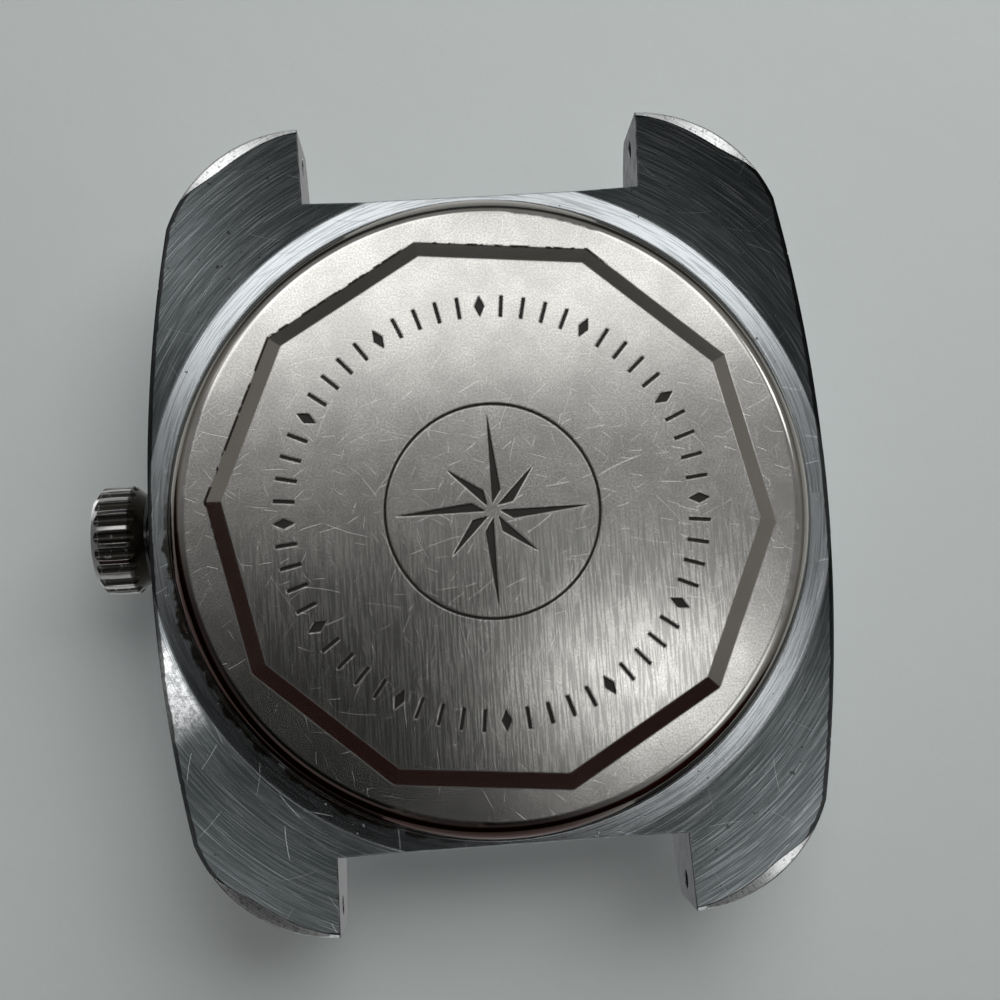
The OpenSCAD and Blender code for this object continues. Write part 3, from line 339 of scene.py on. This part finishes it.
# Worn plate mirrors less than new plate when it is seen at a low angle
case.set("Specular Tint", (0.5, 0.51, 0.52))
case.set("Roughness", 0.09 + ring * 0.07 + lugs * 0.1 + pits * 0.2)
print("turned ring out to", round(turned_ring_r, 2), "mm")

# %% [markdown]
# A polished bevel runs round each lug's end, widest in its middle, and the lathe left the lugs a
# little dished. Both are too shallow to change the outline, so they are bump: it turns the light
# on the face and leaves the face in place.

# %% Relief of the case
case_bump = 0.008
lug_slant = 0.19
bevel_slant = 0.52


def outline_reach(f):
    """Distance inwards from the case's outline, along the flanks and round the lug corners."""
    across, along = abs(f.x), abs(f.y)
    shifted = across + flank_shift
    flank = flank_r - (shifted * shifted + f.y * f.y).math("SQRT")
    past_x = (across - corner_x).math("MAXIMUM", 0.0)
    past_y = (along - corner_y).math("MAXIMUM", 0.0)
    corner = lug_corner_r - (past_x * past_x + past_y * past_y).math("SQRT")
    # The corner's circle counts only past its middle, so it is moved far away before that
    far_away = 9.0
    return flank.math("MINIMUM", corner + along.step(corner_y + 0.01, corner_y) * far_away)


inside = outline_reach(case)
taper = abs(case.y).step(case_high.y - 3.8, case_high.y - 2.0)
width = (abs(case.x).step(8.5, 13.0) * 0.42 + 0.12) * taper
bevel = (inside - width).step(0.02, -0.02) * taper.step(0.0, 0.1) * behind
bevel_height = inside.math("MINIMUM", width) * (bevel_slant / case_bump) * bevel
dish = past_ring * (lug_slant / case_bump) * lugs
turning = (fine - 0.5) * (ring + lugs) * 0.2 + (coarse - 0.5) * lugs * 0.3
wear = (grain - 0.5) * behind * 0.06 - scratches * 0.4 - pits * 0.8
case.bump(turning + dish + wear + bevel_height, case_bump, 0.1)
print("outline corner at", round(corner_x, 2), round(corner_y, 2), "mm")

# %% [markdown]
# The colours follow the marks: the bottom of a stroke is darker than its edge. The lug at 8
# o'clock is painted darker as painted shade, and next to the crown the lugs have a painted
# highlight near the flank. Between the lugs the strap kept the plate damp, and it is stained.

# %% Colours of the plate
polish_glint = case.noise(None, 4.0, 3.0, 0.7).step(0.3, 0.5) * 0.6 + 0.4
# The lug at 8 o'clock is painted darker: painted shade
lug_painted_darker = lugs * case.x.step(4.0, 8.0) * case.y.step(-10.0, -13.0)
# A painted highlight on the lugs beside the crown, near the flank, broken up by the glint noise
crown_side_highlight = abs(round_middle * (180 / pi) + 25.0).step(9.0, 4.0)
crown_side_highlight = crown_side_highlight * case.r.step(turned_ring_r, turned_ring_r + 0.3) * lugs
glint = case.noise(None, 3.0, 3.0, 0.7).step(0.4, 0.55) * 0.5 + 0.4
strap_gap = abs(case.x).step(lug_gap / 2 + 0.1, lug_gap / 2 + 0.02)
strap_gap = strap_gap * abs(case.y).step(body_end, body_end + 0.3)
stains = mixed(case.tree, case.noise(None, 1.2, 3.0, 0.7).step(0.4, 0.62),
               (0.42, 0.43, 0.43), (0.16, 0.16, 0.16))
plate_wear_and_painted_light = case.layers(
    (0.6, 0.61, 0.62),
    (ring, (0.57, 0.6, 0.62)),
    (fine.step(0.54, 0.4) * ring * 0.6, (0.25, 0.268, 0.276)),
    (lugs, (0.103, 0.118, 0.121)),
    (fine.step(0.42, 0.62) * lugs * 0.35, (0.355, 0.38, 0.392)),
    (coarse.step(0.54, 0.66) * lugs * 0.4, (0.545, 0.57, 0.585)),
    (lug_painted_darker * 0.4, (0.048, 0.054, 0.055)),
    (crown_side_highlight * glint, (0.9, 0.91, 0.92)),
    (scratches * 0.3, (0.85, 0.88, 0.9)),
    # the polished bevel's brighter plate, with painted glints broken up by noise
    (bevel * polish_glint, (0.85, 0.86, 0.86)),
    (strap_gap, stains),
    # between the lugs at 6 o'clock the colour is darker still
    (strap_gap * case.y.step(0.0, -1.0) * 0.65, (0.07, 0.07, 0.07)),
)
print("plate coloured")

# %% [markdown]
# Dirt sits where a cloth can't reach: beside the back's rim, thickest below and towards the
# crown, and in the pits of the plate. The narrow edge along each flank is painted black, a
# painted dark reflection of the room.

# %% Dirt, pits and the painted dark reflection on the case's edges
ragged_r = case.r + case.noise(None, 0.8, 3.0, 0.7) * 1.2 - 0.6
dirty_rim = ragged_r.step(back_r + 0.4, back_r + 0.2)
dirty_rim = dirty_rim * (case.x * 0.8 - case.y * 0.6).step(9.0, 15.0)
grime = mixed(case.tree, case.noise(None, 4.0, 4.0, 0.7).step(0.3, 0.7),
              (0.012, 0.01, 0.008), (0.11, 0.085, 0.055))
wander = case.noise(None, 0.9, 3.0, 0.7) * 0.24
# The flank edge is painted black: a painted dark reflection
dark_reflection_edge = (inside - wander).step(0.12, 0.06) * (1 - bevel)
case.set("Base Color", case.layers(
    plate_wear_and_painted_light,
    (dirty_rim * behind * 0.95, grime),
    (pits * 0.7, (0.1, 0.1, 0.1)),
    (dark_reflection_edge * behind * 0.9, (0.02, 0.02, 0.02)),
))
dress(case, "mid_case")
print("case dressed")

# %% [markdown]
# ## The crown
# The crown has the same plate as the case, with dirt packed into its flutes. Its inner chamfer
# has painted shadow beside the case, and its rounded end a painted dark reflection.
# The flutes could be painted face by face. Distance from the stem's axis tells them from the
# lands between them for all of them at once.

# %% Chromed crown
def chromed_crown():
    f = Finish("chromed_crown", Metallic=1.0)
    up = f.z - stem_z
    reach = (f.y * f.y + up * up).math("SQRT")
    deep = reach.step(crown_r - 0.04, crown_r - 0.14)
    deep = deep * f.x.step(crown_high.x - 0.3, crown_high.x - 0.5)
    dirt = f.noise(None, 2.2, 3.0, 0.6).step(0.25, 0.4)
    grain = f.noise(None, 8.0, 3.0, 0.7)
    f.bump(grain * 0.4 + dirt * deep * 0.3, 0.006, 0.08)
    f.set("Roughness", 0.16 + deep * 0.2)
    # Painted shadow on the chamfer next to the case, painted dark reflection on the rounded end
    chamfer = f.x.step(crown_low.x + 0.85, crown_low.x + 0.7)
    rounded = f.x.step(crown_high.x - 0.45, crown_high.x - 0.35)
    rounded = rounded * reach.step(crown_r - 0.7, crown_r - 0.5)
    f.set("Base Color", f.layers(
        (0.36, 0.36, 0.35),
        (chamfer.math("MAXIMUM", rounded), (0.06, 0.06, 0.06)),
        (deep * dirt * 0.92, (0.02, 0.017, 0.012)),
    ))
    return f


dress(chromed_crown(), "crown")
print("crown dressed")

# %% [markdown]
# ## The dial and the crystal
# They show only in the other views. The dial has a fine sunray, which is a noise that changes
# quickly round the middle. The crystal is acrylic. Real refraction is costly for a shell this
# thin, so it is nearly clear by Alpha, and a little denser at its standing wall.

# %% Dial and crystal
def silver_dial():
    f = Finish("silver_dial", Metallic=0.6)
    rays = f.noise(f.vector(f.angle() * 26.0, f.r * 0.08), 1.0, 3.0, 0.6)
    f.set("Roughness", 0.34 + (rays - 0.5) * 0.3)
    f.set("Base Color", f.layers((0.34, 0.35, 0.36), (rays.step(0.3, 0.7), (0.52, 0.53, 0.53))))
    f.bump(rays, 0.004)
    return f


def acrylic():
    f = Finish("acrylic_crystal", Metallic=0.0, Roughness=0.03, IOR=1.49)
    f.set("Base Color", (0.9, 0.92, 0.92))
    wall = f.r.step(crystal_high.x - 1.6, crystal_high.x - 1.0)
    f.set("Alpha", f.hairs(4.0, 0.03, 5.0) * 0.15 + wall * 0.2 + 0.05)
    return f


dress(acrylic(), "crystal")
dress(silver_dial(), "dial")
print("dial and crystal dressed")

# %% [markdown]
# ## Inside
# The movement's plates, wheels and screws are hidden when the watch is closed. They could all
# stay grey, but when a part is taken out to be reused its metal should be right, so each kind
# of piece takes one plain finish.

# %% Small plain finishes
def plain(name, colour, roughness, metallic=1.0, grain=0.0):
    f = Finish(name, Metallic=metallic, Roughness=roughness, Base_Color=colour)
    if grain:
        pattern = f.noise(None, 9.0, 3.0, 0.6)
        f.set("Roughness", roughness + (pattern - 0.5) * grain)
    return f


dress(plain("polished_trim", (0.86, 0.86, 0.86), 0.12), "hour_markers", "hour_hand",
      "minute_hand", "seconds_hand", "tension_ring")
dress(plain("date_enamel", (0.82, 0.82, 0.8), 0.5, 0.0), "date_ring")
dress(plain("black_rubber", (0.03, 0.03, 0.03), 0.6, 0.0, 0.1), "back_gasket", "crown_gasket")
dress(plain("bright_steel", (0.6, 0.61, 0.62), 0.25, 1.0, 0.1), "setting_lever", "yoke", "click",
      "casing_clamps", "winding_stem", "sliding_pinion", "pallet_fork", "date_jumper",
      "regulator", "balance_staff", "barrel_arbor", "cannon_pinion", "escape_wheel",
      "ratchet_wheel", "crown_wheel", "crown_tube")
dress(plain("spring_steel", (0.42, 0.43, 0.46), 0.3), "mainspring", "click_spring",
      "setting_lever_spring")
dress(plain("blued_steel", (0.09, 0.14, 0.34), 0.22), "hairspring", "bridge_screws",
      "clamp_screws", "ratchet_screw")
dress(plain("gilt_brass", (0.78, 0.58, 0.26), 0.28, 1.0, 0.1), "barrel", "barrel_cover",
      "centre_wheel", "third_wheel", "fourth_wheel", "balance_wheel", "minute_wheel",
      "hour_wheel", "setting_wheel", "intermediate_date_wheel", "date_driving_wheel",
      "winding_pinion")
dress(plain("nickel_plate", (0.66, 0.63, 0.56), 0.32, 1.0, 0.15), "mainplate", "barrel_bridge",
      "train_bridge", "balance_cock", "pallet_bridge", "date_guard", "movement_ring")
dress(plain("ruby", (0.5, 0.02, 0.1), 0.1, 0.0), "jewels")
print("inner pieces dressed")

# %% [markdown]
# ## The minute track
# Sixty thin printed strokes stand round the dial's edge. They repeat, so Geometry Nodes place
# one small block on the points of a circle and turn each block to face outwards.

# %% A tree that sets blocks round a circle
def block_ring_tree():
    tree = bpy.data.node_groups.new("block_ring", "GeometryNodeTree")
    face = tree.interface
    face.new_socket("Geometry", in_out="OUTPUT", socket_type="NodeSocketGeometry")
    kinds = {"Count": "Int", "Radius": "Float", "Length": "Float", "Width": "Float",
             "Height": "Float", "Level": "Float", "Material": "Material"}
    sockets = {}
    for name, kind in kinds.items():
        made = face.new_socket(name, in_out="INPUT", socket_type="NodeSocket" + kind)
        sockets[name] = made.identifier
    add = tree.nodes.new
    link = tree.links.new
    start, end = add("NodeGroupInput"), add("NodeGroupOutput")
    circle = add("GeometryNodeMeshCircle")
    link(start.outputs["Count"], circle.inputs["Vertices"])
    link(start.outputs["Radius"], circle.inputs["Radius"])
    size = add("ShaderNodeCombineXYZ")
    for axis, name in enumerate(("Length", "Width", "Height")):
        link(start.outputs[name], size.inputs[axis])
    cube = add("GeometryNodeMeshCube")
    link(size.outputs[0], cube.inputs["Size"])
    outwards = add("FunctionNodeAlignRotationToVector")
    outwards.axis, outwards.pivot_axis = "X", "Z"
    link(add("GeometryNodeInputPosition").outputs[0], outwards.inputs["Vector"])
    place = add("GeometryNodeInstanceOnPoints")
    link(circle.outputs[0], place.inputs["Points"])
    link(cube.outputs[0], place.inputs["Instance"])
    link(outwards.outputs[0], place.inputs["Rotation"])
    real = add("GeometryNodeRealizeInstances")
    link(place.outputs[0], real.inputs[0])
    lift = add("ShaderNodeCombineXYZ")
    link(start.outputs["Level"], lift.inputs[2])
    move = add("GeometryNodeTransform")
    link(real.outputs[0], move.inputs["Geometry"])
    link(lift.outputs[0], move.inputs["Translation"])
    paint = add("GeometryNodeSetMaterial")
    link(move.outputs[0], paint.inputs["Geometry"])
    link(start.outputs["Material"], paint.inputs["Material"])
    link(paint.outputs[0], end.inputs[0])
    return tree, sockets


block_ring, block_ring_input = block_ring_tree()
print("inputs", list(block_ring_input))

# %% [markdown]
# A tree of nodes stays a recipe until something runs it. The track is fixed, so the tree runs
# once and its mesh is kept, which leaves a plain object that any program can read.

# %% Run a tree once and keep its mesh
def linked(name, data):
    """A new object with this data, in the scene."""
    made = bpy.data.objects.new(name, data)
    bpy.context.collection.objects.link(made)
    return made


def grown(name, tree, sockets, **values):
    """The mesh that the tree makes with these inputs, as an object of its own."""
    seed = linked(name + "_seed", bpy.data.meshes.new(name + "_seed"))
    modifier = seed.modifiers.new("grow", "NODES")
    modifier.node_group = tree
    for key, value in values.items():
        modifier[sockets[key]] = value
    seed.update_tag()
    graph = bpy.context.evaluated_depsgraph_get()
    mesh = bpy.data.meshes.new_from_object(seed.evaluated_get(graph))
    bpy.data.objects.remove(seed)
    mesh.name = name
    return linked(name, mesh)


ink = plain("black_ink", (0.02, 0.02, 0.025), 0.5, 0.0)
track = grown("minute_track", block_ring, block_ring_input, Count=60, Radius=12.75 * MM,
              Length=0.62 * MM, Width=0.11 * MM, Height=0.012 * MM,
              Level=(dial_high.z + 0.008) * MM, Material=ink.material)
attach(track, "watch")
print("minute track", len(track.data.polygons), "faces")

# %% [markdown]
# ## The days
# Thirty-one numbers are printed on the date ring, and one of them shows in the window at 3
# o'clock. Each is a flat text made into a mesh, turned to its day's angle, then all are joined.

# %% Numbers on the date ring
def date_numbers():
    digit_height, share_of_font = 1.15 * MM, 0.7
    middle = (date_ring_high.x - 0.78) * MM
    level = (date_ring_high.z + 0.012) * MM
    parts = []
    for day in range(31):
        text = bpy.data.curves.new("day", "FONT")
        text.body, text.size = str(day + 1), digit_height / share_of_font
        text.align_x = text.align_y = "CENTER"
        text.extrude = 0.004 * MM
        text.resolution_u = 3
        label = linked("day", text)
        graph = bpy.context.evaluated_depsgraph_get()
        mesh = bpy.data.meshes.new_from_object(label.evaluated_get(graph))
        bpy.data.objects.remove(label)
        turn = Matrix.Rotation(-2 * pi * day / 31, 4, "Z")
        mesh.transform(turn @ Matrix.Translation((middle, 0, level)))
        parts.append(linked("day", mesh))
    with bpy.context.temp_override(active_object=parts[0], selected_editable_objects=parts):
        bpy.ops.object.join()
    parts[0].name = "date_numbers"
    parts[0].data.materials.clear()
    parts[0].data.materials.append(ink.material)
    return parts[0]


numbers = date_numbers()
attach(numbers, "date_ring")
print("date numbers", len(numbers.data.polygons), "faces")

# %% [markdown]
# ## The table
# The photo looks down on a pale table that the crystal lies on. The other views look at the
# dial, with the watch on its back. So there is a table at the crystal and a floor at the back,
# and each can be seen only from the side that the watch is on. A thin mottled paint is enough
# for both, because in the photo the table is out of focus and nearly plain.

# %% A pale surface that shows from one side
def pale_surface(name, colour):
    material = bpy.data.materials.new(name)
    material.use_nodes = True
    tree = material.node_tree
    shader = tree.nodes["Principled BSDF"]
    place = node(tree, "ShaderNodeTexCoord", output=3)
    mottle = node(tree, "ShaderNodeTexNoise",
                  inputs={"Vector": place, "Scale": 600.0, "Detail": 3.0})
    bump = node(tree, "ShaderNodeBump",
                inputs={"Strength": 0.5, "Distance": 0.08 * MM, "Height": mottle})
    for key, value in (("Base Color", colour), ("Roughness", 0.55), ("Normal", bump)):
        plug(tree, shader.inputs[key], value)
    behind = node(tree, "ShaderNodeNewGeometry", output="Backfacing")
    clear = node(tree, "ShaderNodeBsdfTransparent")
    one_sided = node(tree, "ShaderNodeMixShader",
                     inputs={0: behind, 1: Field(tree, shader.outputs[0]), 2: clear})
    plug(tree, tree.nodes["Material Output"].inputs["Surface"], one_sided)
    return material


def surface(name, corners, faces, colour):
    mesh = bpy.data.meshes.new(name)
    mesh.from_pydata(corners, [], faces)
    mesh.materials.append(pale_surface(name, colour))
    made = linked(name, mesh)
    made.visible_shadow = made.visible_diffuse = made.visible_glossy = False
    return made


def square(half, level):
    return [(-half, -half, level), (half, -half, level), (half, half, level), (-half, half, level)]


floor_level, floor_colour = -0.02 * MM, (0.59, 0.622, 0.616)
table_level, table_colour = (crystal_high.z + 0.05) * MM, (0.52, 0.555, 0.55)
surface("table", square(0.07, table_level), [(3, 2, 1, 0)], table_colour)
surface("floor", square(3.0, floor_level), [(0, 1, 2, 3)], floor_colour)
print("table at", round(crystal_high.z, 2), "mm")

# %% [markdown]
# Polished flanks show the table round them. The back must not show a floor under it, because in
# the photo it shows the room. So neither surface is mirrored, and the metal mirrors a third
# one: a ring of floor that starts a little outside the watch and that the camera can't see.

# %% The ring of floor that the metal mirrors
outline_half_x, outline_half_y, outline_power = 18.7, 21.7, 6
crown_notch, crown_notch_r = radians(12), 24.0
gap_half, gap_end = 7.4, 18.2


def footprint_r(turn):
    """How far the watch and a little room round it reach at this angle, in millimetres."""
    across, along = abs(cos(turn)), abs(sin(turn))
    if cos(turn) > cos(crown_notch):
        return crown_notch_r
    if across * gap_end < along * gap_half:
        return gap_end / along
    sides = (across / outline_half_x) ** outline_power + (along / outline_half_y) ** outline_power
    return sides ** (-1 / outline_power)


def floor_ring(count, spread):
    turns = [2 * pi * i / count for i in range(count)]
    near = [(footprint_r(t) * cos(t) * MM, footprint_r(t) * sin(t) * MM) for t in turns]
    corners = [(x * far, y * far, floor_level) for far in (1, spread) for x, y in near]
    faces = []
    for i in range(count):
        after = (i + 1) % count
        faces.append((i, i + count, after + count, after))
    return corners, faces


mirrored = surface("floor_in_metal", *floor_ring(72, 60), floor_colour)
mirrored.visible_camera, mirrored.visible_glossy = False, True
print("floor ring", len(mirrored.data.polygons), "faces")

# %% [markdown]
# ## Light
# Metal shows what is round it. Behind the watch, where the camera stands, the room is mostly
# dark with soft pale windows, and the lower part is a very dark red that the slopes of the back
# pick up. Many lamps could stand for the windows. Patches on a dome cost nothing and show as
# clean shapes in the steel. In front of the dial the dome is plain and pale.

# %% Windows of the room
# Each patch, as the flat back mirrors it: its middle, its half width and half height, its even
# core and its brightness. A later patch covers an earlier one.
ROOM = (
    ((0.4, 3.6), (3.4, 2.5), 0.8, 0.03),
    ((0.04, 0.09), (1.0, 0.95), 0.8, 0.17),
    ((-0.42, -0.5), (0.28, 0.22), 0.5, 0.5),
    ((-0.15, -0.2), (0.33, 0.3), 0.65, 0.006),
    ((0.2, 0.09), (0.15, 0.1), 0.3, 0.22),
    ((0.03, 0.41), (0.48, 0.235), 0.8, 1.6),
    ((0.09, 0.48), (0.12, 0.2), 0.3, 0.85),
    ((0.07, 0.345), (0.14, 0.075), 0.3, 0.85),
    ((0.15, -0.035), (0.11, 0.055), 0.4, 2.7),
    ((0.42, -0.24), (0.17, 0.16), 0.4, 1.3),
    ((0.76, 0.36), (0.17, 0.17), 0.4, 3.0),
    ((-0.55, 0.52), (0.14, 0.14), 0.4, 0.6),
    ((0.7, -0.28), (0.15, 0.15), 0.4, 0.4),
)
print("patches", len(ROOM))

# %% The room
dark_red, pale_wall, backdrop = (0.015, 0.003, 0.002), (0.1995, 0.19, 0.1805), (0.456, 0.485, 0.479)


def room():
    world = bpy.data.worlds.new("room")
    bpy.context.scene.world = world
    world.use_nodes = True
    tree = world.node_tree
    back = tree.nodes["Background"]
    x, y, z = node(tree, "ShaderNodeTexCoord", output=0).parts()
    depth = (z * -1.0).math("MAXIMUM", 0.05)
    # Places as the flat back mirrors them: across to the right, and up to 12 o'clock
    across, up = x / depth * -1.0, y / depth

    def patch(middle, half, core):
        """1 inside a rounded box, falling to 0 at its edge."""
        u, v = (across - middle[0]) / half[0], (up - middle[1]) / half[1]
        return (abs(u) ** 3.0 + abs(v) ** 3.0).math("POWER", 1 / 3).step(1.0, core)

    walls = mixed(tree, (up + across * 0.37).step(-0.45, -0.25), dark_red, pale_wall)
    for middle, half, core, level in ROOM:
        walls = mixed(tree, patch(middle, half, core), walls, (level, level, level))
    # In front of the dial the dome is palest halfway up
    above = z.step(-0.1, 0.35) * 0.3 + 0.5 - z.step(0.75, 0.97) * 0.35
    dome = node(tree, "ShaderNodeCombineColor", inputs={0: above, 1: above, 2: above})
    lit = mixed(tree, z.step(0.05, -0.05), dome, walls)
    # What the camera sees past the table is one even colour
    rays = node(tree, "ShaderNodeLightPath").socket.node.outputs
    seen = Field(tree, rays["Is Camera Ray"])
    seen = seen.math("MAXIMUM", Field(tree, rays["Is Transmission Ray"]))
    plug(tree, back.inputs["Color"], mixed(tree, seen, lit, backdrop))
    back.inputs["Strength"].default_value = 1.0


room()
print("room lit")

# %% [markdown]
# The dome lights the steel, but the table would look flat under it. One wide lamp behind the
# watch gives the table its soft shadow, and two in front do the same for the dial. Wide discs
# are used because the photo's shadows have no hard edge.

# %% Soft lamps on both sides
watch_middle = Vector((0, 0, 0.004))


def soft_lamp(name, place, size, power):
    data = bpy.data.lights.new(name, "AREA")
    data.shape, data.size, data.energy = "DISK", size, power
    lamp = linked(name, data)
    lamp.location = place
    lamp.rotation_euler = (watch_middle - Vector(place)).to_track_quat("-Z", "Y").to_euler()
    return lamp


table_lamp = soft_lamp("table_lamp", (-0.07, 0.13, -0.17), 0.22, 0.4)
table_lamp.visible_glossy = False
soft_lamp("front_lamp", (-0.3, -0.25, 0.5), 0.3, 0.9)
soft_lamp("front_fill", (0.4, 0.2, 0.4), 0.3, 0.4)
print("lamps set")

# %% [markdown]
# ## Camera
# The lens and the place come from fitting circles of known size to the picture: the watch is
# seen almost square on, from a hand's width away, with 12 o'clock up and the crown on the left.

# %% Camera
camera_data = bpy.data.cameras.new("photo_camera")
camera = linked("photo_camera", camera_data)
bpy.context.scene.camera = camera
camera_data.lens, camera_data.sensor_width, camera_data.sensor_fit = 50.48, 36.0, "HORIZONTAL"
camera_data.clip_start, camera_data.clip_end = 0.002, 10.0
camera_place = Vector((2.81, -6.37, -71.67)) * MM
look = Vector((-0.0446, 0.0956, 0.9944)).normalized()
right = look.cross(Vector((-0.0627, 0.9932, -0.0983))).normalized()
camera_turn = Matrix((right, right.cross(look), -look)).transposed().to_4x4()
camera.matrix_world = Matrix.Translation(camera_place) @ camera_turn
print("camera", tuple(round(c, 4) for c in camera.location))

# %% [markdown]
# The Standard view transform shows the colours as they are set, and a filmic one would bend the
# pale greys of the table.

# %% View transform and the end
bpy.context.scene.view_settings.view_transform = "Standard"
